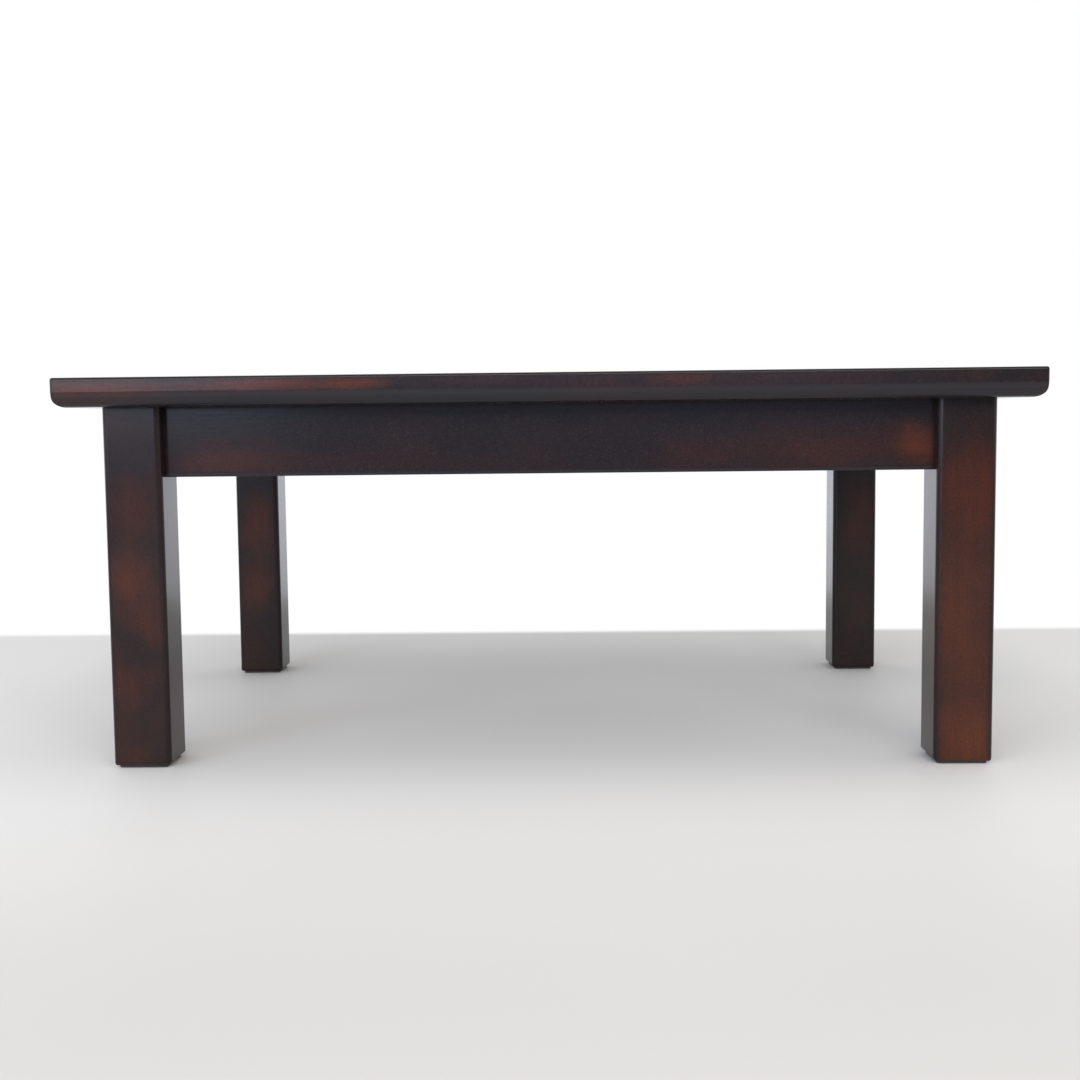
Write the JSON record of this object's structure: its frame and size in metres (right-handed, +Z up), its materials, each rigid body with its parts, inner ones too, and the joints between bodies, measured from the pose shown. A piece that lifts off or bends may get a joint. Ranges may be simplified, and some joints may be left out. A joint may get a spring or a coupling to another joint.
{
  "type": "low table",
  "caption": "Low rectangular table in dark-stained hardwood, with a thick round-edged top, square legs and set-back aprons.",
  "frame": {"origin": "on the floor, at the middle of the table", "axes": "+X along the long side to the right, +Y to the back, +Z up"},
  "size_m": [1, 0.7, 0.41],
  "materials": {
    "top_wood": "dark red-brown stain, mottled, under satin lacquer",
    "leg_wood": "dark red-brown stain, mottled, under satin lacquer",
    "apron_wood": "dark red-brown stain, mottled, under satin lacquer",
    "block_wood": "bare planed hardwood",
    "spline_wood": "bare birch plywood",
    "pad_felt": "pressed black felt",
    "screw_steel": "yellow zinc plating"
  },
  "bodies": {
    "root": {"top_board_1": "top_wood", "top_board_2": "top_wood", "top_board_3": "top_wood", "top_board_4": "top_wood", "top_board_5": "top_wood", "spline_1": "spline_wood", "spline_2": "spline_wood", "spline_3": "spline_wood", "spline_4": "spline_wood", "leg_front_left": "leg_wood", "leg_front_right": "leg_wood", "leg_back_left": "leg_wood", "leg_back_right": "leg_wood", "foot_pad_front_left": "pad_felt", "foot_pad_front_right": "pad_felt", "foot_pad_back_left": "pad_felt", "foot_pad_back_right": "pad_felt", "apron_front": "apron_wood", "apron_back": "apron_wood", "apron_left": "apron_wood", "apron_right": "apron_wood", "corner_block_front_left": "block_wood", "corner_block_front_right": "block_wood", "corner_block_back_left": "block_wood", "corner_block_back_right": "block_wood", "cross_rail": "apron_wood", "button_front_left": "block_wood", "button_front_right": "block_wood", "button_back_left": "block_wood", "button_back_right": "block_wood", "button_left_front": "block_wood", "button_left_back": "block_wood", "button_right_front": "block_wood", "button_right_back": "block_wood", "button_screws": "screw_steel", "block_screws": "screw_steel", "rail_screws": "screw_steel"}
  },
  "joints": []
}
